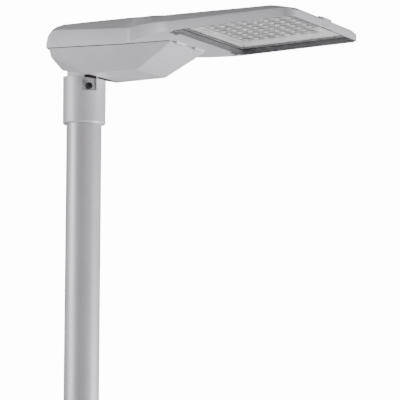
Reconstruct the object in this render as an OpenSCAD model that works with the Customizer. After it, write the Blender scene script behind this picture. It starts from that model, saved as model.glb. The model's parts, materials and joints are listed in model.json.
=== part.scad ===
// Post-top street lamp: an LED luminaire that tilts on the spigot of a round steel column.
// The column's foot is at the origin, +Z is up and the luminaire reaches out along +X.

/* [Column] */
// Height of the column's top above the ground
column_h = 3000; // [2600:50:3600]
// Outside diameter of the shaft
shaft_d = 76; // [74:1:76]
// Wall thickness of the shaft
shaft_wall = 3; // [2.5:0.5:4]
// Outside diameter of the base compartment
base_d = 114; // [112:1:116]
// Wall thickness of the base compartment
base_wall = 3.6; // [3:0.2:4]
// Height of the base compartment's top above the ground
base_top = 950; // [900:10:1100]
// Length of the shoulder between the base compartment and the shaft
shoulder_h = 60; // [40:5:90]

/* [Base plate] */
// Side of the square base plate
plate_side = 300; // [290:5:330]
// Thickness of the base plate
plate_t = 16; // [12:1:20]
// Distance between the anchor holes, centre to centre
anchor_pitch = 200; // [190:5:220]
// Diameter of an anchor hole
anchor_d = 22; // [18:1:24]
// Diameter of the cable hole in the base plate
cable_hole_d = 90; // [70:5:95]

/* [Door] */
// Height of the door opening's lower edge
door_z = 420; // [380:10:450]
// Height of the door opening
door_h = 360; // [340:10:400]
// Width of the door opening
door_w = 80; // [76:1:82]
// Gap between the door and its opening
door_gap = 1; // [0.8:0.1:1.5]

/* [Luminaire] */
// Width of the gear compartment where its two shells meet
gear_w = 204; // [200:1:206]
// Width of the head
head_w = 324; // [320:1:326]
// Radius of the spigot collar at its rim
collar_r = 46; // [45:0.2:46.2]
// Height of the spigot collar
collar_h = 95; // [94:0.5:96]
// Pitch of the lenses
lens_pitch = 25; // [24:0.25:25]
// Thickness of the cast shells
shell_t = 3; // [2.5:0.1:3]
// Thickness of the front glass
glass_t = 4; // [3:0.5:4]

/* [Hidden] */
$fn = 64;
ball_fn = 8;
ball_swell = 1.08;
fuzz = 0.5;
big = 900;
spigot_depth = 90;
collar_z = column_h - spigot_depth;

// Shell form: radius of the rounded edges, and half widths at the ball centres
edge_r = 6;
gear_y = gear_w / 2 - edge_r;
head_y = head_w / 2 - edge_r;
head_wall = 4;
// The rear seam falls towards the front, and the head's rim rises towards the tip
seam_bend = [150, 0, 147.6];
rear_slope = 1.9;
rim_slope = 1.43;
seam_gap = 1.4;
// The head's own frame starts 100 mm in front of the bend of the seam
head_x = 250;
head_z = seam_bend[2] + (head_x - seam_bend[0]) * tan(rim_slope);
// Recess of the optic, measured in the head's frame
recess_x0 = 49.5;
recess_x1 = 325.9;
recess_y = 160;
recess_h = 15.6;
// Pivot of the luminaire on the spigot
pivot_z = 128;
lug_y = 31.5;
lug_t = 10;
pivot_r = 6;
// Round neck of the adapter about the pivot, and the slope of its collar's top
neck_r = 27;
collar_slope = 6.4;
// Glass frame and its hinge
frame_gap = 0.6;
frame_wall = 3;
frame_h = 10.2;
frame_x0 = recess_x0 + frame_gap;
frame_x1 = recess_x1 - frame_gap;
frame_y = recess_y - frame_gap;
hinge_x = 44;
hinge_z = 5.2;
hinge_y = 131;
hinge_len = 34;
knuckle_r = 4.5;
hinge_pin_r = 2.5;
// Room that the frame's rear wall needs to swing, cut from the recess's rear edge
swing_gap = 2.7;
// Gear cover hinge
cover_hinge_x = 259;
cover_hinge_z = 149.5;
cover_hinge_y = 40;
cover_knuckle_r = 4;
cover_pin_r = 2;
cover_front = 253.5;
cutout_x = 49;
cutout_y = 58;
// Lower edge of the fixed cowl behind the collar
cowl_z = 117.4;
// Front latch
latch_x = 323;
latch_z = 20;
latch_r = 2.8;
latch_y = 22;
latch_pin_r = 1.5;
// Optics: a lattice of lenses, nine by eight, with the two places at the far front corner left free
lens_x0 = 94;
lens_cols = 9;
lens_rows = 8;
lens_z = 17.2;
lens_plate_t = 1.4;
chip_t = 0.6;
board_z = lens_z + lens_plate_t + chip_t;
board_t = 1.2;
spreader_z = board_z + board_t;
spreader_t = 4.8;
mask_z = 15.8;
mask_t = 1;
mask_y = 149.4;
// Door hinge
door_r = base_d / 2;
door_hinge_turn = -138.2;
door_hinge_r = door_r + 6;
door_pin_r = 2.5;
door_knuckle_r = 5;
door_mid = door_z + door_h / 2;
lock_turn = 25;
// Mains lead in the gear space: its bends, their steps and its sides
lead_bend = 8;
lead_steps = 6;
lead_sides = 10;
// Supply lead up the column
lead_x = 26;
lead_d = 10;

// ---------- helpers ----------

// Places children in the luminaire's frame, whose origin is at the spigot collar's rim
module at_top() translate([0, 0, collar_z]) children();

// Places children in the head's frame, whose XY plane is the plane of the rim
module at_head() at_top() translate([head_x, 0, head_z]) rotate([0, -rim_slope, 0]) children();

// Repeats children at both signs of Y
module both_sides() {
    children();
    mirror([0, 1, 0]) children();
}

// Cylinder along Y, centred on the XZ plane
module rod_y(r, len) rotate([90, 0, 0]) cylinder(r = r, h = len, center = true);

// Box between two corners
module box(a, b) translate(a) cube(b - a);

// A pair of facetted balls, one on each side, whose widest rings have about radius r
module balls(x, y, z, r) for (s = [-1, 1])
    translate([x, s * y, z]) sphere(r = r * ball_swell, $fn = ball_fn);

// Round tube through a list of points, with a slightly fuller ball at each bend, for leads
// Points along an arc in plan
function arc_points(centre, r, from, to) =
    [for (i = [0:lead_steps]) let (a = from + (to - from) * i / lead_steps)
        [centre[0] + r * cos(a), centre[1] + r * sin(a)]];

// Unit direction of a route in plan at its point i
function heading(route, i) =
    let (step = route[min(i + 1, len(route) - 1)] - route[max(i - 1, 0)]) step / norm(step);

// Round lead of radius r along a route in plan, at height z
module lead(route, r, z) {
    last = len(route) - 1;
    rings = [for (i = [0:last], k = [0:lead_sides - 1])
        let (way = heading(route, i), a = 360 * k / lead_sides)
            [route[i][0] - way[1] * r * cos(a), route[i][1] + way[0] * r * cos(a), z + r * sin(a)]];
    walls = [for (i = [0:last - 1], k = [0:lead_sides - 1], half = [0, 1])
        let (a = i * lead_sides + k, b = i * lead_sides + (k + 1) % lead_sides)
            half == 0 ? [a, b, a + lead_sides] : [b, b + lead_sides, a + lead_sides]];
    ends = [[for (k = [lead_sides - 1:-1:0]) k], [for (k = [0:lead_sides - 1]) last * lead_sides + k]];
    polyhedron(rings, concat(walls, ends));
}

// ---------- forms of the cast shells, all with balls of radius r at the same centres ----------

module rear_form(r, low) hull() {
    balls(-24, gear_y + 1, low, r);
    balls(-45, 50, low, r);
    balls(-51, 0, low, r);
    balls(205, gear_y - 2, low, r);
    balls(-24, gear_y + 1, 179, r);
    balls(-43, 50, 178, r);
    balls(-48, 0, 178, r);
    balls(205, gear_y - 6, 169, r);
    balls(-6, 76, 198, r);
    balls(-20, 0, 198.5, r);
    balls(205, 62, 202.5, r);
}

module flare_form(r, low, front) hull() {
    balls(146, gear_y - 6, low, r);
    balls(146, gear_y - 8, 175, r);
    balls(146, 60, 200.5, r);
    balls(205, 62, 202.3, r);
    balls(205, 121, low, r);
    balls(205, 120, 170, r);
    balls(205, 91, 196, r);
    balls(250, 144, low, r);
    balls(250, 143, 166.5, r);
    balls(250, 117, 190, r);
    balls(front, head_y - (300 - front) / 4, low, r);
    balls(front, head_y - (300 - front) / 4, 164, r);
    balls(front, 135, 183, r);
}

module head_form(r, low) hull() {
    balls(299, head_y, low, r);
    balls(299, head_y, 164, r);
    balls(299, 135, 183.3, r);
    balls(522, 135, 182, r);
    balls(566, 132, 172.5, r);
    balls(560, 138, 168, r);
    for (s = [-1, 1]) translate([556, s * 140, low]) cylinder(r = 16 + r, h = 175.5 - low, $fn = 24);
}

module cover_form(r) hull() {
    balls(166, 56.5, 103, r);
    balls(75, 62, 103, r);
    balls(43, 64, 103, r);
    balls(-14, 61, 115, r);
    balls(-34, 30, 121, r);
    balls(-24, gear_y + 1, 158, r);
    balls(-45, 50, 160, r);
    balls(-51, 0, 160, r);
    balls(150, gear_y - 4, 152, r);
    balls(258, 71, 155, r);
}

// Half of the space above one plane of the seam, tilted by slope at the bend
module above_plane(slope) translate(seam_bend) rotate([0, slope, 0])
    translate([-big / 2, -big / 2, 0]) cube([big, big, 200]);

// Half of the space below one plane of the seam, tilted by slope at the bend
module below_plane(slope) translate(seam_bend) rotate([0, slope, 0])
    translate([-big / 2, -big / 2, -200]) cube([big, big, 200]);

// Everything above the seam between the shells, moved down by drop
module above_seam(drop = 0) translate([0, 0, -drop]) intersection() {
    above_plane(rear_slope);
    above_plane(-rim_slope);
}

// Opening between the gear compartment's two shells
module gear_opening() translate([0, 0, 130]) linear_extrude(30)
    polygon([[-22, -97], [150, -94], [250, -72], [250, 72], [150, 94], [-22, 97], [-42, 50], [-49, 0], [-42, -50]]);

// ---------- column ----------

module base_plate() color("silver") difference() {
    union() {
        box([-plate_side / 2, -plate_side / 2 + 20, 0], [plate_side / 2, plate_side / 2 - 20, plate_t]);
        box([-plate_side / 2 + 20, -plate_side / 2, 0], [plate_side / 2 - 20, plate_side / 2, plate_t]);
        for (x = [-1, 1], y = [-1, 1])
            translate([x * (plate_side / 2 - 20), y * (plate_side / 2 - 20), 0]) cylinder(r = 20, h = plate_t);
    }
    translate([0, 0, -fuzz]) cylinder(d = cable_hole_d, h = plate_t + 2 * fuzz);
    for (x = [-1, 1], y = [-1, 1])
        translate([x * anchor_pitch / 2, y * anchor_pitch / 2, -fuzz]) cylinder(d = anchor_d, h = plate_t + 2 * fuzz);
}

module base_gussets() color("silver") difference() {
    for (a = [0:90:270]) rotate([0, 0, a]) translate([0, 5, plate_t]) rotate([90, 0, 0])
        linear_extrude(10) polygon([[50, 0], [132, 0], [132, 12], [68, 90], [50, 90]]);
    translate([0, 0, plate_t - fuzz]) cylinder(d = base_d, h = 100);
}

module base_tube() color("silver") difference() {
    translate([0, 0, plate_t]) cylinder(d = base_d, h = base_top - plate_t);
    translate([0, 0, plate_t - fuzz]) cylinder(d = base_d - 2 * base_wall, h = base_top - plate_t + 2 * fuzz);
    box([-door_w / 2, -base_d, door_z], [door_w / 2, 0, door_z + door_h]);
}

module shoulder() color("silver") translate([0, 0, base_top]) rotate_extrude()
    polygon([[base_d / 2 - base_wall, 0], [base_d / 2, 0], [shaft_d / 2, shoulder_h],
        [shaft_d / 2 - shaft_wall, shoulder_h]]);

module shaft() color("silver") translate([0, 0, base_top + shoulder_h]) difference() {
    cylinder(d = shaft_d, h = column_h - base_top - shoulder_h);
    translate([0, 0, -fuzz]) cylinder(d = shaft_d - 2 * shaft_wall, h = column_h);
}

// Heights of the two door hinges
function door_hinge_zs() = [door_z + 60, door_z + door_h - 60];

// Heights of the bolts that hold the backboard
function backboard_bolt_zs() = [door_z + 20, door_z + door_h - 20];

module hinge_brackets() color("silver") for (z = door_hinge_zs(), s = [-1, 1]) difference() {
    translate([0, 0, z + s * 14 - 6]) rotate([0, 0, door_hinge_turn]) union() {
        translate([door_hinge_r, 0, 0]) cylinder(r = door_knuckle_r, h = 12);
        box([door_r - 6, -14, 0], [door_hinge_r - 2, 3, 12]);
    }
    rotate([0, 0, door_hinge_turn]) translate([door_hinge_r, 0, z - 30]) cylinder(r = door_pin_r, h = 60);
    translate([0, 0, z - 40]) cylinder(r = door_r, h = 80);
}

module door_hinge_pins() color("gainsboro") for (z = door_hinge_zs())
    rotate([0, 0, door_hinge_turn]) translate([door_hinge_r, 0, z - 22]) union() {
        cylinder(r = door_pin_r, h = 44);
        translate([0, 0, 42]) cylinder(r = 4, h = 3);
    }

module backboard() color("tan") difference() {
    box([-32, 34, door_z - 10], [32, 42, door_z + door_h + 10]);
    for (z = backboard_bolt_zs()) translate([0, 30, z]) rotate([-90, 0, 0]) cylinder(r = 3, h = 20);
}

module backboard_bolts() color("gainsboro") for (z = backboard_bolt_zs())
    translate([0, 34, z]) rotate([-90, 0, 0]) union() {
        translate([0, 0, -5]) cylinder(r = 6, h = 5, $fn = 6);
        cylinder(r = 3, h = 19.2);
        translate([0, 0, 8]) cylinder(r = 5, h = 10);
    }

module cutout_box() color("dimgray") difference() {
    box([-28, -8, door_mid - 60], [32, 34, door_mid + 50]);
    box([-20, -8 - fuzz, door_mid - 30], [4, 22, door_mid + 30]);
    box([10, -8 - fuzz, door_mid - 20], [22, -2, door_mid + 20]);
}

module fuse_carrier() color("black") union() {
    box([-19.5, -14, door_mid - 29.5], [3.5, 21.5, door_mid + 29.5]);
    box([-12, -22, door_mid - 14], [-4, -14, door_mid + 14]);
}

module earth_stud() color("goldenrod") translate([-30, 0, door_z - 40]) rotate([0, -90, 0]) union() {
    translate([0, 0, -6]) cylinder(r = 4, h = 29.2);
    cylinder(r = 7.5, h = 6.5, $fn = 6);
    translate([0, 0, 8]) cylinder(r = 8.5, h = 1.6);
    translate([0, 0, 10]) cylinder(r = 7.5, h = 6.5, $fn = 6);
}

module supply_lead() color("black") translate([lead_x, 0, door_mid + 50])
    cylinder(d = lead_d, h = column_h - 2 - door_mid - 50);

module lead_grommet() color("black") at_top() translate([lead_x, 0, spigot_depth - 2]) union() {
    cylinder(r = 8, h = 2);
    cylinder(r = 6, h = 10);
    translate([0, 0, 7]) cylinder(r = 8, h = 3);
}

// ---------- spigot ----------

module spigot_adapter() color("lightgray") at_top() difference() {
    union() {
        cylinder(r1 = collar_r - 1.5, r2 = collar_r, h = 2);
        difference() {
            translate([0, 0, 2]) cylinder(r1 = collar_r, r2 = collar_r + 0.6, h = collar_h + 8);
            translate([0, 0, collar_h + 4]) rotate([0, collar_slope, 0]) box([-80, -80, 0], [80, 80, 40]);
        }
        difference() {
            union() {
                box([-neck_r, -lug_y + 3, collar_h - 3], [neck_r - 10, lug_y - 3, pivot_z]);
                translate([0, 0, pivot_z]) rod_y(neck_r, 2 * (lug_y - 3));
            }
            box([6 - neck_r, -21, collar_h], [neck_r + 10, 21, pivot_z + 18]);
        }
    }
    translate([0, 0, -fuzz]) cylinder(d = shaft_d + 0.6, h = spigot_depth + fuzz);
    translate([0, 0, pivot_z]) rod_y(pivot_r + 0.1, 100);
    translate([lead_x, 0, 80]) cylinder(r = 6, h = 30);
    translate([lead_x, 0, collar_h]) cylinder(r = 8.4, h = 10);
    for (a = [-45, 45]) rotate([0, 0, a]) {
        translate([collar_r - 5, -16, 68]) cube([20, 32, 40]);
        translate([0, 0, 78]) rotate([0, 90, 0]) cylinder(r = 5, h = 80);
    }
}

module clamp_screws() color("dimgray") at_top() for (a = [-45, 45]) rotate([0, 0, a])
    translate([shaft_d / 2, 0, 78]) rotate([0, 90, 0]) difference() {
        union() {
            cylinder(r = 5, h = 5);
            translate([0, 0, 5]) cylinder(r = 7, h = 3.2);
        }
        translate([0, 0, 5.2]) cylinder(r = 3, h = 5, $fn = 6);
    }

// ---------- door ----------

// Places children on the lock's axis, with +Z pointing out of the door and +Y up
module at_lock() rotate([0, 0, lock_turn]) translate([0, 0, door_mid]) rotate([90, 0, 0]) children();

module door() color("silver") union() {
    difference() {
        intersection() {
            difference() {
                cylinder(r = door_r, h = column_h);
                translate([0, 0, -fuzz]) cylinder(r = door_r - 3, h = column_h + 1);
            }
            box([-door_w / 2 + door_gap, -base_d, door_z + door_gap],
                [door_w / 2 - door_gap, 0, door_z + door_h - door_gap]);
        }
        at_lock() cylinder(r = 9, h = 100);
    }
    for (z = door_hinge_zs()) difference() {
        translate([0, 0, z - 7.5]) rotate([0, 0, door_hinge_turn]) union() {
            translate([door_hinge_r, 0, 0]) cylinder(r = door_knuckle_r, h = 15);
            box([door_r + 1.6, 0, 0], [door_r + 4, 14, 15]);
            box([door_r - 3, 7, 0], [door_r + 4, 14, 15]);
        }
        rotate([0, 0, door_hinge_turn]) translate([door_hinge_r, 0, z - 30]) cylinder(r = door_pin_r + 0.06, h = 60);
        translate([0, 0, z - 40]) cylinder(r = door_r - 1.5, h = 80);
    }
}

module door_lock_barrel() color("gainsboro") at_lock() difference() {
    union() {
        translate([0, 0, door_r - 8]) cylinder(r = 9, h = 9);
        translate([0, 0, door_r + 0.1]) cylinder(r = 12, h = 2.9);
    }
    cylinder(r = 5.06, h = 100);
}

module lock_cam() color("dimgray") at_lock() union() {
    translate([0, 0, 42]) cylinder(r = 5, h = 16);
    translate([-6, -6, 42]) cube([12, 32, 3]);
    translate([0, 0, 58]) cylinder(r = 4, h = 2, $fn = 3);
}

// ---------- luminaire, fixed parts ----------

// Space of the optic in the head's frame: low over the side and front walls, high in the middle
module optic_space() intersection() {
    rotate([90, 0, 0]) translate([0, 0, -200]) linear_extrude(400)
        polygon([[58, 15], [58, 31], [270, 27], [278, 25.6], [303, 20.8], [303, 17.2], [312, 17.2], [312, 15]]);
    translate([-10, 0, 0]) rotate([90, 0, 90]) linear_extrude(400)
        polygon([[-150, 15], [-150, 17.2], [-137, 27.2], [-130, 31], [130, 31], [137, 27.2], [150, 17.2], [150, 15]]);
}

module upper_housing() color("lightgray") difference() {
    union() {
        difference() {
            at_top() union() {
                rear_form(edge_r, 135);
                flare_form(edge_r, 135, 300);
                head_form(edge_r, 135);
            }
            at_top() below_plane(rear_slope);
            at_top() below_plane(-rim_slope);
            at_top() rear_form(edge_r - shell_t, 158);
            at_top() flare_form(edge_r - head_wall, 157, 292);
            at_top() gear_opening();
            at_head() optic_space();
        }
        at_top() both_sides() union() {
            box([-15, lug_y, pivot_z], [15, lug_y + lug_t, 202.5]);
            translate([0, lug_y + lug_t / 2, pivot_z]) rod_y(15, lug_t);
        }
        at_top() for (y = [-62, 62]) {
            translate([72, y, 178]) cylinder(r = 5, h = 26);
            translate([236, y, 178]) cylinder(r = 5, h = 21.5);
        }
        at_head() for (x = [95, 255], y = [-90, 90]) translate([x, y, spreader_z + spreader_t])
            cylinder(r = 6, h = 6);
        at_head() both_sides() {
            translate([70, 130, mask_z + mask_t]) cylinder(r = 4.5, h = 16);
            translate([300, 130, mask_z + mask_t]) cylinder(r = 4.5, h = 5.5);
            box([36, hinge_y - 27, 0.5], [recess_x0, hinge_y + 23, 13]);
        }
        at_top() both_sides() {
            for (y = [cover_hinge_y - 16, cover_hinge_y + 16])
                translate([cover_hinge_x, y, cover_hinge_z]) rod_y(cover_knuckle_r, 7);
            for (y = [cover_hinge_y - 16, cover_hinge_y + 16])
                box([cover_hinge_x - 4, y - 3.5, cover_hinge_z], [cover_hinge_x + 4, y + 3.5, 156]);
            box([251, cover_hinge_y - 19.5, 153], [268, cover_hinge_y + 19.5, 160]);
        }
        at_head() both_sides() translate([latch_x, latch_y + 2.4, latch_z]) union() {
            rod_y(latch_r, 4);
            box([-latch_r, -2, -6], [latch_r, 2, 0]);
        }
    }
    at_head() box([recess_x0, -recess_y, -20], [recess_x1, recess_y, recess_h]);
    at_head() box([recess_x0 - swing_gap, -recess_y, -20], [recess_x0 + 1, recess_y, swing_gap + 0.3]);
    at_head() both_sides() {
        box([38.6, hinge_y - hinge_len / 2 - 0.5, -5], [recess_x0 + 1, hinge_y + hinge_len / 2 + 0.5, 10.9]);
        translate([hinge_x, hinge_y, hinge_z]) rod_y(hinge_pin_r, 46);
    }
    at_top() both_sides() {
        box([250, cover_hinge_y - 12.4, 140], [264.2, cover_hinge_y + 12.4, 154]);
        translate([cover_hinge_x, cover_hinge_y, cover_hinge_z]) rod_y(cover_pin_r, 38);
        translate([0, 0, pivot_z]) rod_y(pivot_r, 200);
    }
    at_head() {
        box([recess_x1 - fuzz, -latch_y - 0.4, -10], [400, latch_y + 0.4, 40]);
        box([latch_x - 4, -latch_y - 0.4, recess_h - 1], [400, latch_y + 0.4, 40]);
        translate([latch_x, 0, latch_z]) rod_y(latch_pin_r, 2 * latch_y + 8);
        for (x = [70, 300], y = [-130, 130]) translate([x, y, mask_z]) cylinder(r = 2, h = 3.8);
    }
    led_lead_path(2.6);
}

module rear_cowl() color("lightgray") at_top() difference() {
    intersection() {
        difference() {
            cover_form(edge_r);
            cover_form(edge_r - 2.8);
        }
        box([-80, -cutout_y + 0.8, cowl_z], [-20, cutout_y - 0.8, 160]);
    }
    above_seam(1);
}

module pivot_bolt() color("gainsboro") at_top() translate([0, -lug_y - lug_t, pivot_z]) union() {
    rotate([-90, 0, 0]) cylinder(r = pivot_r, h = 2 * (lug_y + lug_t) + 13);
    rotate([90, 0, 0]) cylinder(r = 10, h = 8, $fn = 6);
}

module pivot_nut() color("gainsboro") at_top() translate([0, lug_y + lug_t, pivot_z]) rotate([-90, 0, 0])
    difference() {
        union() {
            cylinder(r = 12, h = 2);
            translate([0, 0, 2]) cylinder(r = 10, h = 9, $fn = 6);
        }
        translate([0, 0, -1]) cylinder(r = pivot_r, h = 14);
    }

module toothed_discs() color("gainsboro") at_top() both_sides()
    translate([0, lug_y, pivot_z]) rotate([90, 0, 0]) difference() {
        cylinder(r = 15, h = 2.6);
        translate([0, 0, -1]) cylinder(r = pivot_r, h = 6);
        for (a = [0:15:345]) rotate([0, 0, a]) translate([10, -0.6, 1.8]) cube([8, 1.2, 2]);
    }

module cover_gasket() color("black") at_top() intersection() {
    difference() {
        translate([0, 0, 130]) linear_extrude(40)
            polygon([[-24, -gear_y - 4.5], [150, -gear_y + 0.5], [249, -74], [249, 74], [150, gear_y - 0.5],
                [-24, gear_y + 4.5], [-48, 50], [-54.5, 0], [-48, -50]]);
        translate([0, 0, 129]) linear_extrude(42)
            polygon([[-21, -gear_y], [149, -gear_y + 5], [246, -70], [246, 70], [149, gear_y - 5],
                [-21, gear_y], [-44, 49], [-50, 0], [-44, -49]]);
    }
    difference() {
        above_seam(1);
        above_seam(0);
    }
}

module gear_plate() color("gainsboro") at_top() difference() {
    box([60, -76, 176], [246, 76, 178]);
    for (x = [72, 236], y = [-62, 62]) translate([x, y, 170]) cylinder(r = 2.6, h = 20);
}

module gear_plate_screws() color("gainsboro") at_top() for (x = [72, 236], y = [-62, 62])
    translate([x, y, 173]) difference() {
        union() {
            cylinder(r = 4.5, h = 3);
            cylinder(r = 2.6, h = 5);
        }
        translate([0, 0, -fuzz]) cylinder(r = 1.6, h = 2, $fn = 6);
    }

module driver() color("white") at_top() union() {
    box([92, -66, 138], [212, 8, 174]);
    box([84, -60, 172], [220, 2, 176]);
}

module surge_protector() color("whitesmoke") at_top() union() {
    box([92, 18, 146], [136, 58, 176]);
    box([96, 26, 142], [128, 50, 146]);
}

module terminal_block() color("ivory") at_top() difference() {
    box([150, 20, 150], [206, 44, 176]);
    for (i = [0:4]) {
        translate([156 + i * 11, 26, 144]) cylinder(r = 2.4, h = 16);
        box([152.5 + i * 11, 36, 152], [159.5 + i * 11, 46, 162]);
    }
}

module cord_grip() color("dimgray") at_top() difference() {
    box([62, 14, 158], [78, 44, 176]);
    translate([50, 29, 166]) rotate([0, 90, 0]) cylinder(r = 5.05, h = 40);
}

module mains_lead() color("black") at_top()
    lead(concat([[54, 29]], arc_points([78, 37], lead_bend, -90, 0), arc_points([94, 58], lead_bend, 180, 90),
        arc_points([170, 58], lead_bend, 90, 0), [[178, 44]]), 5, 166);

module led_lead_path(r) at_top() translate([220.2, -30, 170]) rotate([0, 87.77, 0]) cylinder(r = r, h = 103);

module led_lead() color("black") led_lead_path(2.5);

module heat_spreader() color("silver") at_head() difference() {
    box([74, -106, spreader_z], [277, 106, spreader_z + spreader_t]);
    for (x = [95, 255], y = [-90, 90]) translate([x, y, 0]) cylinder(r = 2, h = 60);
}

// True where the lattice carries a lens
function has_lens(i, j) = !(i == lens_cols - 1 && j > lens_rows - 3);

// Centre of one lens
function lens_at(i, j) = [lens_x0 + i * lens_pitch, (j - (lens_rows - 1) / 2) * lens_pitch];

module led_boards() color("honeydew") at_head() both_sides() difference() {
    box([lens_x0 - 12, 0.6, board_z], [lens_x0 + (lens_cols - 1) * lens_pitch + 8, 101, spreader_z]);
    for (x = [lens_x0 + 12.5, lens_x0 + 162.5], y = [25, 75])
        translate([x, y, 0]) cylinder(r = 1.6, h = 60);
}

module led_chips() color("gold") at_head() for (i = [0:lens_cols - 1], j = [0:lens_rows - 1])
    if (has_lens(i, j)) translate([lens_at(i, j)[0] - 1.75, lens_at(i, j)[1] - 1.75, lens_z + lens_plate_t])
        cube([3.5, 3.5, chip_t]);

// One lens: a shallow cap under the plate
module lens() intersection() {
    translate([0, 0, 7.2]) sphere(r = 9, $fn = 32);
    translate([-6, -6, -4]) cube([12, 12, 4 + 0.4]);
}

module lens_plates() color("white", 0.6) at_head() union() {
    for (x = [[-11, 112], [113, 208]], s = [-1, 1]) translate([lens_x0, 0, 0])
        box([x[0], min(s * 0.4, s * 100), lens_z], [x[1], max(s * 0.4, s * 100), lens_z + lens_plate_t]);
    for (i = [0:lens_cols - 1], j = [0:lens_rows - 1])
        if (has_lens(i, j)) translate([lens_at(i, j)[0], lens_at(i, j)[1], lens_z]) lens();
}

module optic_mask() color("gainsboro") at_head() difference() {
    box([59, -mask_y, mask_z], [311, mask_y, mask_z + mask_t]);
    box([lens_x0 - 9, -96, 0], [lens_x0 + (lens_cols - 2) * lens_pitch + 9, 96, 40]);
    box([lens_x0, -96, 0], [lens_x0 + (lens_cols - 1) * lens_pitch + 9, 46, 40]);
    for (x = [70, 300], y = [-130, 130]) translate([x, y, 0]) cylinder(r = 2, h = 40);
}

module mask_screws() color("gainsboro") at_head() for (x = [70, 300], y = [-130, 130])
    translate([x, y, mask_z - 0.7]) difference() {
        union() {
            cylinder(r = 3.4, h = 0.7);
            cylinder(r = 2, h = 4.5);
        }
        translate([0, 0, -fuzz]) cylinder(r = 1.2, h = 0.9, $fn = 6);
    }

module frame_hinge_pins() color("gainsboro") at_head() both_sides()
    translate([hinge_x, hinge_y, hinge_z]) rod_y(hinge_pin_r, 46);

module cover_hinge_pins() color("gainsboro") at_top() both_sides()
    translate([cover_hinge_x, cover_hinge_y, cover_hinge_z]) rod_y(cover_pin_r, 38);

module cover_clips() color("gainsboro") at_top() both_sides() union() {
    box([10, 80, 146], [24, 82, 176]);
    box([10, 80, 174], [24, 99.1, 176]);
}

module latch_pin() color("gainsboro") at_head() translate([latch_x, 0, latch_z])
    rod_y(latch_pin_r, 2 * latch_y + 8);

// ---------- gear cover ----------

module gear_cover() color("lightgray") at_top() difference() {
    union() {
        difference() {
            cover_form(edge_r);
            cover_form(edge_r - 2.8);
            box([cover_front, -200, 0], [cover_front + 50, 200, 400]);
        }
        both_sides() translate([cover_hinge_x, cover_hinge_y, cover_hinge_z]) union() {
            rod_y(cover_knuckle_r, 24);
            box([-12, -12, -4], [0, 12, -0.5]);
        }
    }
    above_seam_behind_hinge();
    box([-100, -cutout_y, 0], [cutout_x, cutout_y, 400]);
    translate([cover_hinge_x, 0, cover_hinge_z]) rod_y(cover_pin_r + 0.06, 150);
}

// The upper shell's space, which the gear cover keeps clear of up to its hinge
module above_seam_behind_hinge() intersection() {
    above_seam(seam_gap);
    box([-200, -300, 0], [cover_front, 300, 400]);
}

// ---------- glass frame ----------

module glass_frame() color("dimgray") at_head() union() {
    difference() {
        box([frame_x0, -frame_y, 0], [frame_x1, frame_y, frame_h + 3.3]);
        box([frame_x0 + frame_wall, -frame_y + frame_wall, -1], [frame_x1 - frame_wall, frame_y - frame_wall, 30]);
        box([frame_x0 + 1.2, -frame_y + 1.2, frame_h], [frame_x1 - 1.2, frame_y - 1.2, 30]);
    }
    both_sides() translate([hinge_x, hinge_y, hinge_z]) difference() {
        union() {
            rod_y(knuckle_r, hinge_len);
            box([0, -hinge_len / 2, -knuckle_r], [frame_x0 - hinge_x + 0.5, hinge_len / 2, knuckle_r - 1]);
        }
        rod_y(hinge_pin_r + 0.06, 60);
    }
}

module glass() color("lightcyan", 0.4) at_head()
    box([frame_x0 + 1.4, -frame_y + 1.4, frame_h], [frame_x1 - 1.4, frame_y - 1.4, frame_h + glass_t]);

module glass_seal() color("black") at_head() difference() {
    box([frame_x0 + 2, -frame_y + 2, frame_h + glass_t], [frame_x1 - 2, frame_y - 2, recess_h - 0.2]);
    box([frame_x0 + 8, -frame_y + 8, 0], [frame_x1 - 8, frame_y - 8, 40]);
}

// ---------- latch ----------

module latch_lever() color("lightgray") at_head() translate([latch_x, 0, latch_z]) difference() {
    union() {
        rod_y(latch_r, 2 * latch_y);
        box([0, -latch_y, -3], [4.5, latch_y, latch_r]);
        box([3.4, -latch_y, -19], [6, latch_y, latch_r - 1]);
        box([3.4, -14, -19.5], [7.4, 14, -16.5]);
    }
    rod_y(latch_pin_r + 0.06, 80);
}

base_plate();
base_gussets();
base_tube();
shoulder();
shaft();
hinge_brackets();
door_hinge_pins();
backboard();
backboard_bolts();
cutout_box();
earth_stud();
supply_lead();
lead_grommet();
spigot_adapter();
clamp_screws();
door();
door_lock_barrel();
lock_cam();
fuse_carrier();
upper_housing();
rear_cowl();
pivot_bolt();
pivot_nut();
toothed_discs();
cover_gasket();
gear_plate();
gear_plate_screws();
driver();
surge_protector();
terminal_block();
cord_grip();
mains_lead();
led_lead();
heat_spreader();
led_boards();
led_chips();
lens_plates();
optic_mask();
mask_screws();
frame_hinge_pins();
cover_hinge_pins();
cover_clips();
latch_pin();
gear_cover();
glass_frame();
glass();
glass_seal();
latch_lever();
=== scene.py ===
"""Post-top street lamp: a cast LED luminaire that tilts on the spigot of a round steel column.

The luminaire's shells, its latch, its lenses and the column's welds are modelled here with
Blender's own tools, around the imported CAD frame. All sizes inside the classes are millimetres.
"""
import json
import logging
import math
from dataclasses import dataclass, field
from enum import Enum
from typing import Sequence

import bmesh
import bpy
from mathutils import Matrix, Vector


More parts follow.
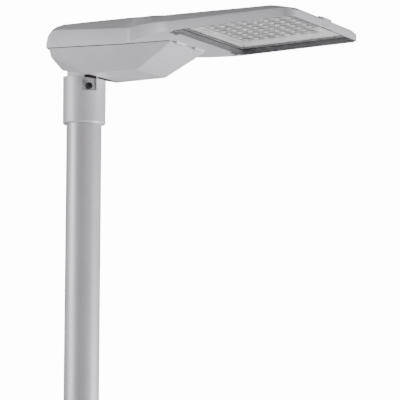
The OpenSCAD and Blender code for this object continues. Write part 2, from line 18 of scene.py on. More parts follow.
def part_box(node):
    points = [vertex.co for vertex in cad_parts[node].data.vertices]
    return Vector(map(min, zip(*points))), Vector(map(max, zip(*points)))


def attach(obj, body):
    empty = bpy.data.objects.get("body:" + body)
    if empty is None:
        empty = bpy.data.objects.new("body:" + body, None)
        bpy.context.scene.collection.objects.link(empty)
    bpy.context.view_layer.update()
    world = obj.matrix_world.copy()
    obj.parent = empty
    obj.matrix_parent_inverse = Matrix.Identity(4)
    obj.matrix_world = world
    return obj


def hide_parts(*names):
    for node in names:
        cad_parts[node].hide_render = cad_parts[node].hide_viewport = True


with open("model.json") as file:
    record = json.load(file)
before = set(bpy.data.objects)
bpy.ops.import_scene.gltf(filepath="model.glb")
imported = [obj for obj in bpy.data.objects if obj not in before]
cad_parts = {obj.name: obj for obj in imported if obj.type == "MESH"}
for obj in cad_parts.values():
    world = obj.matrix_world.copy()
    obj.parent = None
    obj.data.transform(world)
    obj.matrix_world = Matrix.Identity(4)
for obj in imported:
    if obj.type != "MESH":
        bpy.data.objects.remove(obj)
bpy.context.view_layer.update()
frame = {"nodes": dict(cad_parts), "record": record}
LOG = logging.getLogger("street_lamp")
MM = 0.001
Point = tuple[float, float, float]


class Body(Enum):
    """The moving bodies that new pieces ride on."""

    COLUMN = "column"
    LUMINAIRE = "luminaire"
    COVER = "cover"
    FRONT = "front"
    LATCH = "latch"


# ---------- places ----------


@dataclass(frozen=True)
class Place:
    """Turns sizes in one of the lamp's own frames into world positions.

    Attributes:
        origin: The frame's origin in world millimetres.
        turn: The frame's turn about Y in degrees, positive lowering +X.
    """

    origin: Point
    turn: float = 0.0

    def world(self, x: float, y: float, z: float) -> Vector:
        """Gives the world position, in metres, of a point in this frame."""
        spun = Matrix.Rotation(math.radians(self.turn), 3, "Y") @ Vector((x, y, z))
        return (Vector(self.origin) + spun) * MM


@dataclass(frozen=True)
class Seam:
    """The line, seen from the side, on which the luminaire's two shells meet."""

    bend_x: float = 150.0
    bend_z: float = 147.6
    rear_slope: float = 1.9
    rim_slope: float = 1.43
    gap: float = 1.4

    def height(self, x: float) -> float:
        """Gives the seam's height above the collar's rim at one X."""
        slope = -self.rear_slope if x < self.bend_x else self.rim_slope
        return self.bend_z + (x - self.bend_x) * math.tan(math.radians(slope))


SEAM = Seam()
RIM_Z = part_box("spigot_adapter")[0][2] / MM
TOP = Place((0.0, 0.0, RIM_Z))
HEAD_X = 250.0
HEAD = Place((HEAD_X, 0.0, RIM_Z + SEAM.height(HEAD_X)), -SEAM.rim_slope)


# ---------- modelling steps ----------


@dataclass(frozen=True)
class LampSizes:
    """Sizes that several pieces of the luminaire share.

    Attributes:
        recess: The optic recess's two ends in X.
        frame_hinge: The glass frame's hinge axis, in X and Z.
        frame_knuckle: The middle and the half length of its knuckles.
        cover_hinge: The gear cover's hinge axis, in X and Z.
        cover_knuckle: The middle and the half length of its knuckles.
        cover_knuckle_r: The radius of its knuckles and of the ears beside them.
        latch: The latch's pivot, in X and Z.
        latch_half: Half the latch's width.
        latch_r: The radius of its barrel and of the ears beside it.
    """

    recess: tuple[float, float] = (49.5, 325.9)
    frame_hinge: tuple[float, float] = (44.0, 5.2)
    frame_knuckle: tuple[float, float] = (131.0, 17.0)
    cover_hinge: tuple[float, float] = (259.0, 149.5)
    cover_knuckle: tuple[float, float] = (40.0, 12.0)
    cover_knuckle_r: float = 4.0
    latch: tuple[float, float] = (323.0, 20.0)
    latch_half: float = 22.0
    latch_r: float = 2.8


SIZES = LampSizes()


def stretch(side: int, near: float, far: float) -> tuple[float, float]:
    """Gives a stretch of Y on one side of the middle, from low to high."""
    low, high = sorted((side * near, side * far))
    return low, high


def around(side: int, knuckle: tuple[float, float], gap: float = 0.0) -> tuple[float, float]:
    """Gives the ends of a knuckle on one side of the middle, with a gap at both."""
    middle, half = knuckle
    return stretch(side, middle - half - gap, middle + half + gap)


def deselect() -> None:
    """Leaves edit mode and selects nothing."""
    if bpy.context.mode != "OBJECT":
        bpy.ops.object.mode_set(mode="OBJECT")
    bpy.ops.object.select_all(action="DESELECT")


def pick(obj: bpy.types.Object) -> None:
    """Makes one object the only selected and the active one."""
    deselect()
    obj.select_set(True)
    bpy.context.view_layer.objects.active = obj


def settle(obj: bpy.types.Object) -> None:
    """Moves an object's place, turn and scale into its mesh."""
    pick(obj)
    bpy.ops.object.transform_apply(location=True, rotation=True, scale=True)


def block(place: Place, low: Point, high: Point, name: str = "block") -> bpy.types.Object:
    """Adds a box between two corners given in a place's own frame.

    Args:
        place: The frame of the corners.
        low: The lowest corner.
        high: The highest corner.
        name: The object's name.

    Returns:
        The new box, with its place in its mesh.
    """
    deselect()
    middle = [(a + b) / 2 for a, b in zip(low, high)]
    bpy.ops.mesh.primitive_cube_add(size=1, location=place.world(*middle))
    obj = bpy.context.active_object
    obj.name = name
    obj.scale = [(b - a) * MM for a, b in zip(low, high)]
    obj.rotation_euler = (0.0, math.radians(place.turn), 0.0)
    settle(obj)
    return obj


def rod(place: Place, start: Point, end: Point, radius: float, sides: int = 32) -> bpy.types.Object:
    """Adds a cylinder between two points given in a place's own frame.

    Args:
        place: The frame of the points.
        start: The middle of the first end.
        end: The middle of the other end.
        radius: The cylinder's radius.
        sides: The number of its faces around.

    Returns:
        The new cylinder, with its place in its mesh.
    """
    deselect()
    a, b = place.world(*start), place.world(*end)
    bpy.ops.mesh.primitive_cylinder_add(
        vertices=sides, radius=radius * MM, depth=(b - a).length, location=(a + b) / 2
    )
    obj = bpy.context.active_object
    obj.rotation_euler = (b - a).to_track_quat("Z", "Y").to_euler()
    settle(obj)
    return obj


def put_ring(obj: bpy.types.Object, old: Sequence[Vector], new: Sequence[Vector]) -> None:
    """Moves the selected vertices that lie on one ring to the matching points of the next."""
    mesh = bmesh.from_edit_mesh(obj.data)
    for vert in [v for v in mesh.verts if v.select]:
        index = min(range(len(old)), key=lambda i: (vert.co - old[i]).length_squared)
        vert.co = new[index]
    bmesh.update_edit_mesh(obj.data)


def loft(name: str, rings: Sequence[Sequence[Vector]]) -> bpy.types.Object:
    """Extrudes a face through a row of sections.

    Args:
        name: The object's name.
        rings: The sections, each with the same number of points in the same order.

    Returns:
        A closed solid that runs through all the sections.
    """
    deselect()
    bpy.ops.mesh.primitive_circle_add(vertices=len(rings[0]), radius=1, fill_type="NGON")
    obj = bpy.context.active_object
    obj.name = name
    for vert, point in zip(obj.data.vertices, rings[0]):
        vert.co = point
    bpy.ops.object.mode_set(mode="EDIT")
    bpy.ops.mesh.select_all(action="SELECT")
    for old, new in zip(rings, rings[1:]):
        bpy.ops.mesh.extrude_region_move()
        put_ring(obj, old, new)
    bpy.ops.mesh.select_all(action="SELECT")
    bpy.ops.mesh.normals_make_consistent(inside=False)
    bpy.ops.object.mode_set(mode="OBJECT")
    return obj


def prism(outline: Sequence[tuple[float, float]], low: float, high: float) -> bpy.types.Object:
    """Raises an outline in plan, given from the collar's axis, between two heights."""
    rings = [[TOP.world(x, y, z) for x, y in outline] for z in (low, high)]
    return loft("prism", rings)


def side_prism(outline: Sequence[tuple[float, float]], reach: float) -> bpy.types.Object:
    """Widens an outline seen from the side to both sides of the lamp."""
    rings = [[TOP.world(x, y, z) for x, z in outline] for y in (-reach, reach)]
    return loft("side_prism", rings)


def rounded_plate(
    place: Place, x: tuple[float, float], half: float, z: tuple[float, float], radius: float
) -> bpy.types.Object:
    """Models a flat plate with round corners.

    Args:
        place: The frame of the sizes.
        x: The plate's two ends along X.
        half: Half its width.
        z: Its lower and upper face.
        radius: The radius of its corners.

    Returns:
        The plate as a closed solid.
    """
    steps = 8
    rings: list[list[Vector]] = []
    for level in z:
        ring: list[Vector] = []
        corners = ((x[1], half, 0.0), (x[0], half, 90.0), (x[0], -half, 180.0), (x[1], -half, 270.0))
        for end, side, start in corners:
            middle_x = end - math.copysign(radius, end - (x[0] + x[1]) / 2)
            middle_y = side - math.copysign(radius, side)
            for step in range(steps + 1):
                angle = math.radians(start + 90.0 * step / steps)
                ring.append(place.world(middle_x + radius * math.cos(angle),
                                        middle_y + radius * math.sin(angle), level))
        rings.append(ring)
    return loft("rounded_plate", rings)


def boolean(obj: bpy.types.Object, tool: bpy.types.Object, kind: str) -> None:
    """Combines a tool with an object by a Boolean modifier, and deletes the tool."""
    pick(obj)
    step = obj.modifiers.new(kind.lower(), "BOOLEAN")
    step.operation = kind
    step.solver = "EXACT"
    step.object = tool
    bpy.ops.object.modifier_apply(modifier=step.name)
    bpy.data.objects.remove(tool, do_unlink=True)


def cut(obj: bpy.types.Object, *tools: bpy.types.Object) -> None:
    """Cuts every tool out of an object."""
    for tool in tools:
        boolean(obj, tool, "DIFFERENCE")


def trim_below(obj: bpy.types.Object, slope: float) -> None:
    """Cuts off all that lies below one plane of the seam and closes the cut."""
    pick(obj)
    bpy.ops.object.mode_set(mode="EDIT")
    bpy.ops.mesh.select_all(action="SELECT")
    normal = Matrix.Rotation(math.radians(slope), 3, "Y") @ Vector((0, 0, 1))
    bpy.ops.mesh.bisect(
        plane_co=TOP.world(SEAM.bend_x, 0, SEAM.bend_z), plane_no=normal, use_fill=True, clear_inner=True
    )
    bpy.ops.object.mode_set(mode="OBJECT")


def soften(obj: bpy.types.Object, width: float, segments: int = 3, angle: float = 25.0) -> None:
    """Rounds the edges sharper than an angle with an applied Bevel modifier."""
    pick(obj)
    step = obj.modifiers.new("soft_edges", "BEVEL")
    step.width = width * MM
    step.segments = segments
    step.limit_method = "ANGLE"
    step.angle_limit = math.radians(angle)
    step.use_clamp_overlap = True
    bpy.ops.object.modifier_apply(modifier=step.name)


def shade(obj: bpy.types.Object, angle: float = 32.0) -> None:
    """Shades an object smooth across edges flatter than an angle."""
    pick(obj)
    bpy.ops.object.shade_smooth_by_angle(angle=math.radians(angle))


def merge(name: str, parts: Sequence[bpy.types.Object]) -> bpy.types.Object:
    """Joins parts into the first one and names the result."""
    pick(parts[0])
    for part in parts:
        part.select_set(True)
    bpy.ops.object.join()
    parts[0].name = name
    parts[0].data.name = name
    return parts[0]


def finish_piece(
    obj: bpy.types.Object, body: Body, slot: str, material: bpy.types.Material, *nodes: str
) -> bpy.types.Object:
    """Gives a piece its finish, its body and the CAD nodes it stands for.

    Args:
        obj: The finished piece.
        body: The body it rides on.
        slot: The record's material slot of the finish; not used.
        material: The finish.
        *nodes: The CAD nodes that it replaces.

    Returns:
        The same piece.
    """
    obj.data.materials.clear()
    obj.data.materials.append(material)
    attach(obj, body.value)
    if nodes:
        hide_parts(*nodes)
    LOG.info("%s: %d faces on %s", obj.name, len(obj.data.polygons), body.value)
    return obj


# ---------- finishes ----------


def add_node(tree: bpy.types.NodeTree, kind: str, **values: object) -> bpy.types.Node:
    """Adds a shader node and sets its named sockets and properties.

    Args:
        tree: The node tree.
        kind: The node's type name.
        **values: Socket values by name with spaces as underscores, or properties.

    Returns:
        The new node.
    """
    node = tree.nodes.new(kind)
    for key, value in values.items():
        socket = node.inputs.get(key.replace("_", " "))
        if socket is not None:
            socket.default_value = value
        else:
            setattr(node, key, value)
    return node


def make_group(name: str, inputs: dict[str, float], outputs: dict[str, str]) -> bpy.types.NodeTree:
    """Starts a shader node group with float inputs and typed outputs."""
    tree = bpy.data.node_groups.new(name, "ShaderNodeTree")
    for key, value in inputs.items():
        socket = tree.interface.new_socket(name=key, in_out="INPUT", socket_type="NodeSocketFloat")
        socket.default_value = value
    for key, kind in outputs.items():
        tree.interface.new_socket(name=key, in_out="OUTPUT", socket_type=kind)
    return tree


def texture_point(tree: bpy.types.NodeTree) -> bpy.types.NodeSocket:
    """Gives the surface's own Object coordinates."""
    return add_node(tree, "ShaderNodeTexCoord").outputs["Object"]


def noise(tree: bpy.types.NodeTree, scale: bpy.types.NodeSocket, detail: float) -> bpy.types.NodeSocket:
    """Adds a noise pattern on Object coordinates.

    Args:
        tree: The node tree.
        scale: The socket that gives the pattern's scale.
        detail: The number of octaves.

    Returns:
        The pattern's value.
    """
    node = add_node(tree, "ShaderNodeTexNoise", Detail=detail, Roughness=0.6)
    tree.links.new(texture_point(tree), node.inputs["Vector"])
    tree.links.new(scale, node.inputs["Scale"])
    return node.outputs["Fac"]


def remap(tree: bpy.types.NodeTree, value: bpy.types.NodeSocket, low: float, high: float,
          new_low: float, new_high: float) -> bpy.types.NodeSocket:
    """Maps a value from one range onto another, clamped."""
    node = add_node(tree, "ShaderNodeMapRange", From_Min=low, From_Max=high, To_Min=new_low, To_Max=new_high)
    tree.links.new(value, node.inputs["Value"])
    return node.outputs["Result"]


def surface_group() -> bpy.types.NodeTree:
    """Builds the group that breaks up a coat: fine grain, a broad random tone and painted shade on upward
    faces.

    Returns:
        A group with the inputs Grain Scale and Broad Scale and the outputs Shade, Gloss, Grain
        and a painted shade for upward faces, each a value from 0 to 1.
    """
    tree = make_group(
        "CoatBreakup", {"Grain Scale": 900.0, "Broad Scale": 9.0},
        {"Shade": "NodeSocketFloat", "Gloss": "NodeSocketFloat", "Grain": "NodeSocketFloat",
         "Painted Top Shade": "NodeSocketFloat"},
    )
    start = tree.nodes.new("NodeGroupInput")
    end = tree.nodes.new("NodeGroupOutput")
    grain = noise(tree, start.outputs["Grain Scale"], 2.0)
    broad = noise(tree, start.outputs["Broad Scale"], 4.0)
    tree.links.new(grain, end.inputs["Grain"])
    tree.links.new(remap(tree, broad, 0.35, 0.65, 0.0, 1.0), end.inputs["Shade"])
    mixed = add_node(tree, "ShaderNodeMath", operation="MULTIPLY_ADD")
    tree.links.new(broad, mixed.inputs[0])
    mixed.inputs[1].default_value = 0.5
    tree.links.new(grain, mixed.inputs[2])
    tree.links.new(remap(tree, mixed.outputs[0], 0.55, 1.0, 0.0, 1.0), end.inputs["Gloss"])
    # Painted shade: faces that look upward are darkened, more so in broad patches, for the dim light from
    # above.
    normal = add_node(tree, "ShaderNodeNewGeometry")
    split = add_node(tree, "ShaderNodeSeparateXYZ")
    tree.links.new(normal.outputs["Normal"], split.inputs[0])
    up = remap(tree, split.outputs["Z"], 0.5, 1.0, 0.0, 1.0)
    painted_top_shade = add_node(tree, "ShaderNodeMath", operation="MULTIPLY")
    tree.links.new(up, painted_top_shade.inputs[0])
    tree.links.new(remap(tree, broad, 0.4, 0.7, 0.2, 1.0), painted_top_shade.inputs[1])
    tree.links.new(painted_top_shade.outputs[0], end.inputs["Painted Top Shade"])
    return tree


SURFACE = surface_group()


@dataclass(frozen=True)
class Finish:
    """One procedural finish built on the shared breakup group.

    Attributes:
        name: The material's name.
        light: The lighter of the two colours that the finish varies between.
        dark: The darker one.
        metallic: How metallic it is.
        rough: The smoothest and the roughest value.
        grain: The fine grain's scale and the height of its bump in metres.
        broad: The scale of the broad variation.
        painted_top_shade: How strongly painted shade darkens upward faces, from 0 to 1.
        coat: The weight of a clear coat.
    """

    name: str
    light: Point
    dark: Point
    metallic: float = 0.0
    rough: tuple[float, float] = (0.4, 0.55)
    grain: tuple[float, float] = (900.0, 0.00004)
    broad: float = 9.0
    painted_top_shade: float = 0.0
    coat: float = 0.0

    def shader(self, tree: bpy.types.NodeTree) -> bpy.types.Node:
        """Adds the shader with the values that are the same all over."""
        return add_node(tree, "ShaderNodeBsdfPrincipled", Metallic=self.metallic, Coat_Weight=self.coat)

    def build(self) -> bpy.types.Material:
        """Builds the material."""
        material = bpy.data.materials.new(self.name)
        material.use_nodes = True
        tree = material.node_tree
        tree.nodes.clear()
        out = tree.nodes.new("ShaderNodeOutputMaterial")
        shader = self.shader(tree)
        tree.links.new(shader.outputs[0], out.inputs["Surface"])
        group = add_node(tree, "ShaderNodeGroup", node_tree=SURFACE)
        group.inputs["Grain Scale"].default_value = self.grain[0]
        group.inputs["Broad Scale"].default_value = self.broad
        colour = add_node(tree, "ShaderNodeMix", data_type="RGBA")
        tree.links.new(group.outputs["Shade"], colour.inputs["Factor"])
        colour.inputs["A"].default_value = (*self.dark, 1.0)
        colour.inputs["B"].default_value = (*self.light, 1.0)
        # Painted shade: upward faces are mixed towards a dark brownish grey.
        top_shaded = add_node(tree, "ShaderNodeMix", data_type="RGBA")
        tree.links.new(remap(tree, group.outputs["Painted Top Shade"], 0.0, 1.0, 0.0, self.painted_top_shade), top_shaded.inputs["Factor"])
        tree.links.new(colour.outputs["Result"], top_shaded.inputs["A"])
        top_shaded.inputs["B"].default_value = (0.42, 0.4, 0.36, 1.0)
        tree.links.new(top_shaded.outputs["Result"], shader.inputs["Base Color"])
        tree.links.new(remap(tree, group.outputs["Gloss"], 0.0, 1.0, *self.rough), shader.inputs["Roughness"])
        bump = add_node(tree, "ShaderNodeBump", Strength=1.0, Distance=self.grain[1])
        tree.links.new(group.outputs["Grain"], bump.inputs["Height"])
        tree.links.new(bump.outputs["Normal"], shader.inputs["Normal"])
        return material


@dataclass(frozen=True)
class ClearFinish(Finish):
    """A clear finish, for the front glass and the lenses.

    Attributes:
        ior: The index of refraction.
        clear: How much light goes through.
        body: How much of the light meets the surface at all, where the rest passes straight on.
    """

    ior: float = 1.5
    clear: float = 1.0
    body: float = 1.0

    def shader(self, tree: bpy.types.NodeTree) -> bpy.types.Node:
        """Adds the shader with its transmission."""
        return add_node(
            tree, "ShaderNodeBsdfPrincipled", Metallic=0.0, IOR=self.ior,
            Transmission_Weight=self.clear, Alpha=self.body
        )


# In a row, a number after the broad scale gives the painted shade on upward faces.
FINISHES: tuple[tuple[str, Finish], ...] = (
    ("column_coat", Finish("column_coat", (0.56, 0.54, 0.57), (0.53, 0.51, 0.54), 0.35, (0.38, 0.5),
                           (1400.0, 0.00002), 6.0, 0.15)),
    ("lamp_coat", Finish("lamp_coat", (0.60, 0.585, 0.615), (0.57, 0.555, 0.585), 0.3, (0.42, 0.55),
                         (1600.0, 0.000025), 8.0, 0.2)),
    # The glass frame's grey coat, made far darker than the housing: painted shade for the shaded inner walls
    # of the recess.
    ("frame_coat", Finish("frame_coat", (0.13, 0.128, 0.135), (0.1, 0.098, 0.104), 0.2, (0.4, 0.55))),
    ("steel", Finish("bright_steel", (0.62, 0.62, 0.61), (0.5, 0.5, 0.5), 1.0, (0.25, 0.42),
                     (2400.0, 0.00002), 60.0, 0.1)),
    ("dark_steel", Finish("blackened_steel", (0.06, 0.06, 0.065), (0.03, 0.03, 0.03), 0.8, (0.35, 0.5),
                          (1800.0, 0.00003), 50.0, 0.1)),
    ("aluminium", Finish("mill_aluminium", (0.75, 0.75, 0.76), (0.62, 0.62, 0.64), 1.0, (0.35, 0.5),
                         (1500.0, 0.00002), 30.0)),
    ("brass", Finish("yellow_brass", (0.72, 0.52, 0.22), (0.52, 0.36, 0.13), 1.0, (0.25, 0.45),
                     (1500.0, 0.00002), 80.0)),
    ("board", Finish("resin_board", (0.46, 0.32, 0.18), (0.33, 0.22, 0.12), 0.0, (0.5, 0.7),
                     (500.0, 0.00006), 40.0)),
    ("board_white", Finish("white_solder_mask", (0.86, 0.87, 0.86), (0.8, 0.81, 0.8), 0.0, (0.3, 0.4),
                           (1500.0, 0.00001), 60.0)),
    ("phosphor", Finish("yellow_phosphor", (0.85, 0.62, 0.12), (0.72, 0.5, 0.08), 0.0, (0.4, 0.6),
                        (2500.0, 0.00002), 300.0)),
    ("mask", Finish("mask_coat", (0.95, 0.95, 0.96), (0.9, 0.9, 0.91), 0.0, (0.35, 0.5),
                    (1200.0, 0.00002), 15.0)),
    ("rubber", Finish("black_rubber", (0.03, 0.03, 0.03), (0.018, 0.018, 0.018), 0.0, (0.6, 0.8),
                      (900.0, 0.00005), 40.0)),
    ("cable", Finish("cable_sheath", (0.028, 0.028, 0.03), (0.018, 0.018, 0.02), 0.0, (0.4, 0.55),
                     (1200.0, 0.00003), 60.0)),
    ("black_plastic", Finish("black_moulding", (0.035, 0.035, 0.036), (0.022, 0.022, 0.023), 0.0, (0.35, 0.5),
                             (1100.0, 0.00004), 50.0)),
    ("white_plastic", Finish("white_moulding", (0.78, 0.78, 0.76), (0.7, 0.7, 0.68), 0.0, (0.35, 0.5),
                             (1100.0, 0.00004), 50.0, 0.2)),
    ("glass", ClearFinish("front_glass", (0.96, 0.98, 0.98), (0.94, 0.97, 0.97), 0.0, (0.0, 0.03),
                          (40.0, 0.0), 5.0, 0.0, 0.0, 1.5, 1.0, 0.3)),
    # Painted shade: the lens plates are a mostly opaque dark grey in place of clear plastic, to darken the
    # ground between the caps.
    ("lens", ClearFinish("lens_plate_painted_shade", (0.24, 0.235, 0.25), (0.2, 0.195, 0.21), 0.0, (0.3, 0.4),
                         (300.0, 0.0), 60.0, 0.0, 0.0, 1.49, 0.1)),
)


# Painted highlight: the lens caps are an opaque glossy white in place of clear plastic, to stand for the
# bright strokes of the lenses.
CAP_PAINTED_HIGHLIGHT = ClearFinish("lens_cap_painted_highlight", (1.0, 1.0, 1.0), (0.95, 0.95, 0.96), 0.0, (0.05, 0.12),
                         (300.0, 0.0), 60.0, 0.0, 0.0, 1.6, 0.0)


@dataclass
class Paintbox:
    """Builds every finish once and lays the finishes on the CAD nodes.

    Attributes:
        materials: The finishes by the record's material slot.
    """

    materials: dict[str, bpy.types.Material] = field(default_factory=dict)

    def build(self) -> "Paintbox":
        """Builds all the finishes."""
        for slot, finish in FINISHES:
            self.materials[slot] = finish.build()
        return self

    def dress_nodes(self) -> None:
        """Gives each CAD node the finish of its own material slot."""
        for part in frame["record"]["subparts"]:
            mesh = frame["nodes"][part["node"]].data
            mesh.materials.clear()
            mesh.materials.append(self.materials[part["material_slot"]])
            LOG.info("%s keeps its CAD shape in %s", part["node"], part["material_slot"])


# ---------- the luminaire's upper shell ----------


def between(x: float, table: Sequence[Sequence[float]], column: int) -> float:
    """Reads one column of a table of sections at any X, on straight lines between its rows."""
    for low, high in zip(table, table[1:]):
        if x <= high[0]:
            share = max(0.0, (x - low[0]) / (high[0] - low[0]))
            return low[column] + share * (high[column] - low[column])
    return table[-1][column]


# Sections of the upper shell: X, the crease's height, the chamfer's top (Y, Z), the ridge (Y, Z)
# and the middle's height
SHELL_ROWS: tuple[tuple[float, ...], ...] = (
    (-57.0, 162.0, 97.0, 165.0, 60.0, 167.0, 168.0),
    (-52.0, 178.0, 92.0, 184.5, 60.0, 187.0, 188.0),
    (-42.0, 186.5, 88.0, 195.5, 58.0, 197.5, 198.0),
    (-28.0, 189.5, 85.5, 201.5, 57.0, 203.0, 203.3),
    (-10.0, 189.2, 84.0, 204.5, 56.0, 205.0, 205.1),
    (60.0, 185.1, 78.5, 206.0, 56.0, 206.5, 206.6),
    (150.0, 180.0, 71.0, 207.6, 60.0, 208.0, 208.1),
    (171.0, 178.6, 76.0, 206.2, 63.0, 208.2, 208.3),
    (205.0, 176.6, 97.0, 199.5, 66.0, 208.2, 208.5),
    (250.0, 173.4, 121.5, 193.0, 100.0, 198.6, 199.2),
    (300.0, 170.2, 139.0, 189.4, 130.0, 189.7, 189.8),
    (520.0, 174.4, 138.0, 187.7, 130.0, 188.0, 188.1),
    (545.0, 174.8, 137.0, 183.4, 130.0, 183.6, 183.7),
    (572.0, 173.8, 134.0, 178.0, 129.0, 178.3, 178.4),
    (578.0, 170.5, 131.0, 173.5, 127.0, 173.6, 173.7),
)


@dataclass
class UpperShell:
    """The cast upper shell: a long gear housing that flares into the flat head.

    Attributes:
        rear_half: Half the width of the gear housing.
        head_half: Half the width of the head.
        rear_x: The middle of the rear edge.
        front_x: The front edge.
        flare: Where the flare starts and ends in X, and its half width at the start.
        corner: The radius of the head's front corners in plan.
        rear_bow: The radius of the rear edge in plan.
        strip: The width of the strips that the bowed rear is made of.
        wall: The thickness of the casting.
        rear_wall: Its thickness in X at the rear edge.
        space_end: Where the gear space ends in X.
        seam_margin: How far the casting is modelled past the seam before it is trimmed.
        recess_half: Half the optic recess's width.
        recess_top: The top of the recess.
        recess_corner: The radius of its corners.
        swing_gap: The gap behind it that the glass frame swings into.
        optic_steps: The steps above it, each with its ends in X, half width and top.
        lug: The pivot's height, the radius of its lugs and their top.
        gear_posts: The posts of the gear plate, each with its X and top.
        optic_posts: The X of the short posts above the optics.
        gap: The gap at each end of a knuckle and of the latch.
    """

    rear_half: float = 101.5
    head_half: float = 162.0
    rear_x: float = -57.0
    front_x: float = 578.0
    flare: tuple[float, float, float] = (155.0, 298.0, 88.0)
    corner: float = 21.0
    rear_bow: float = 223.0
    strip: float = 17.0
    wall: float = 3.5
    rear_wall: float = 4.5
    space_end: float = 292.0
    seam_margin: float = 16.0
    recess_half: float = 160.0
    recess_top: float = 15.6
    recess_corner: float = 18.6
    swing_gap: float = 2.7
    optic_steps: tuple[tuple[float, ...], ...] = (
        (58, 311.5, 150, 17.4), (66, 303, 112, 21), (66, 281, 112, 26),
    )
    lug: tuple[float, float, float] = (128.0, 15.0, 202.5)
    gear_posts: tuple[tuple[float, float], ...] = ((72, 204), (236, 198))
    optic_posts: tuple[float, ...] = (95, 255)
    gap: float = 0.4

    def half_width(self, x: float) -> float:
        """Gives half the shell's width in plan at one X."""
        start, end, narrow = self.flare
        share = min(1.0, max(0.0, (x - start) / (end - start)))
        wide = self.head_half - (self.head_half - narrow) * (1.0 - share) ** 1.6
        half = max(wide, self.rear_half + max(0.0, -x) * 0.03)
        into = x - (self.front_x - self.corner)
        if into > 0:
            half = self.head_half - self.corner + math.sqrt(max(0.0, self.corner**2 - into**2))
        return half

    def bow(self, obj: bpy.types.Object) -> None:
        """Slices a solid into lengthwise strips and bows its rear end in plan."""
        pick(obj)
        bpy.ops.object.mode_set(mode="EDIT")
        for index in range(-5, 6):
            bpy.ops.mesh.select_all(action="SELECT")
            bpy.ops.mesh.bisect(plane_co=TOP.world(0, index * self.strip, 0), plane_no=(0, 1, 0))
        bpy.ops.object.mode_set(mode="OBJECT")
        for vert in obj.data.vertices:
            x, y = vert.co.x / MM, vert.co.y / MM
            fade = min(1.0, max(0.0, (60.0 - x) / (60.0 - self.rear_x)))
            vert.co.x += fade * y * y / (2 * self.rear_bow) * MM

    def section(self, x: float, inset: float, floor: float) -> list[Vector]:
        """Gives the closed section at one X.

        Args:
            x: The section's place along the luminaire.
            inset: How far the section lies inside the shell's outer face.
            floor: The height of the section's bottom.

        Returns:
            Nine world points, from the bottom on one side over the top to the other.
        """
        half = self.half_width(x) - inset
        crease, y2, z2, y3, z3, mid = (between(x, SHELL_ROWS, c) for c in range(1, 7))
        crease -= inset * 0.4
        y2 = min(y2, half - 4.0) - inset * 0.4
        sides = [(half, floor), (half, crease), (y2, z2 - inset), (min(y3, y2 - 2.0), z3 - inset)]
        outline = [(-y, z) for y, z in sides] + [(0.0, mid - inset)] + [(y, z) for y, z in reversed(sides)]
        return [TOP.world(x, y, z) for y, z in outline]

    def stations(self, first: float, last: float) -> list[float]:
        """Lists the X of the sections between two ends, close together where the shell turns."""
        marks = {first, last}
        marks |= {row[0] for row in SHELL_ROWS}
        marks |= {157.0 + 8.0 * i for i in range(18)}
        arc = self.front_x - self.corner
        marks |= {arc + self.corner * math.sin(math.radians(a)) for a in range(0, 91, 15)}
        return sorted(x for x in marks if first <= x <= last)

    def outer(self) -> bpy.types.Object:
        """Models the outside as a solid, rounds its creases and trims it at the seam."""
        rings = [
            self.section(x, 0.0, SEAM.height(x) - self.seam_margin)
            for x in self.stations(self.rear_x, self.front_x)
        ]
        shell = loft("upper_shell", rings)
        self.bow(shell)
        soften(shell, 4.0, 3, 24.0)
        trim_below(shell, SEAM.rear_slope)
        trim_below(shell, -SEAM.rim_slope)
        return shell

    def hollow(self) -> bpy.types.Object:
        """Models the gear space, which runs from the rear into the flare."""
        rings = [
            self.section(x, self.wall, SEAM.height(x) + self.wall)
            for x in self.stations(self.rear_x + self.rear_wall, self.space_end)
        ]
        space = loft("gear_space", rings)
        self.bow(space)
        return space

    def openings(self) -> list[bpy.types.Object]:
        """Models what is cut from the casting: optic recess, gear opening and latch gap."""
        rear, front = SIZES.recess
        half = self.recess_half
        side = [(-22, 97), (150, 94), (250, 72)]
        rear_edge = [(-42, 50), (-49, 0), (-42, -50)]
        tools = [
            rounded_plate(HEAD, SIZES.recess, half, (-20, self.recess_top), self.recess_corner),
            block(HEAD, (rear - self.swing_gap, -half, -20), (rear + 1, half, 3.0)),
            prism([(x, -y) for x, y in side] + side[::-1] + rear_edge, 130, 168),
        ]
        for start, end, reach, top in self.optic_steps:
            tools.append(block(HEAD, (start, -reach, 14), (end, reach, top)))
        x, z = SIZES.latch
        reach = SIZES.latch_half + self.gap
        for start, low in ((front - 0.5, -10), (x - 4, z - 5.4)):
            tools.append(block(HEAD, (start, -reach, low), (400, reach, 40)))
        return tools

    def frame_pocket(self, side: int) -> bpy.types.Object:
        """Models the pocket that one knuckle of the glass frame turns in."""
        low, high = around(side, SIZES.frame_knuckle, 0.5)
        return block(HEAD, (38.6, low, -5), (SIZES.recess[0] + 1, high, 10.9))

    def ear(
        self, place: Place, pin: tuple[float, float], radius: float, ends: tuple[float, float], root: float
    ) -> bpy.types.Object:
        """Models one ear that holds a pin.

        Args:
            place: The frame that the sizes are in.
            pin: The pin's X and Z.
            radius: The radius of the ear's round end.
            ends: The ear's two faces in Y.
            root: How far the ear's root lies above the pin, or below it.

        Returns:
            The ear.
        """
        x, z = pin
        low, high = ends
        under, over = sorted((z, z + root))
        ear = rod(place, (x, low, z), (x, high, z), radius)
        boolean(ear, block(place, (x - radius, low, under), (x + radius, high, over)), "UNION")
        return ear

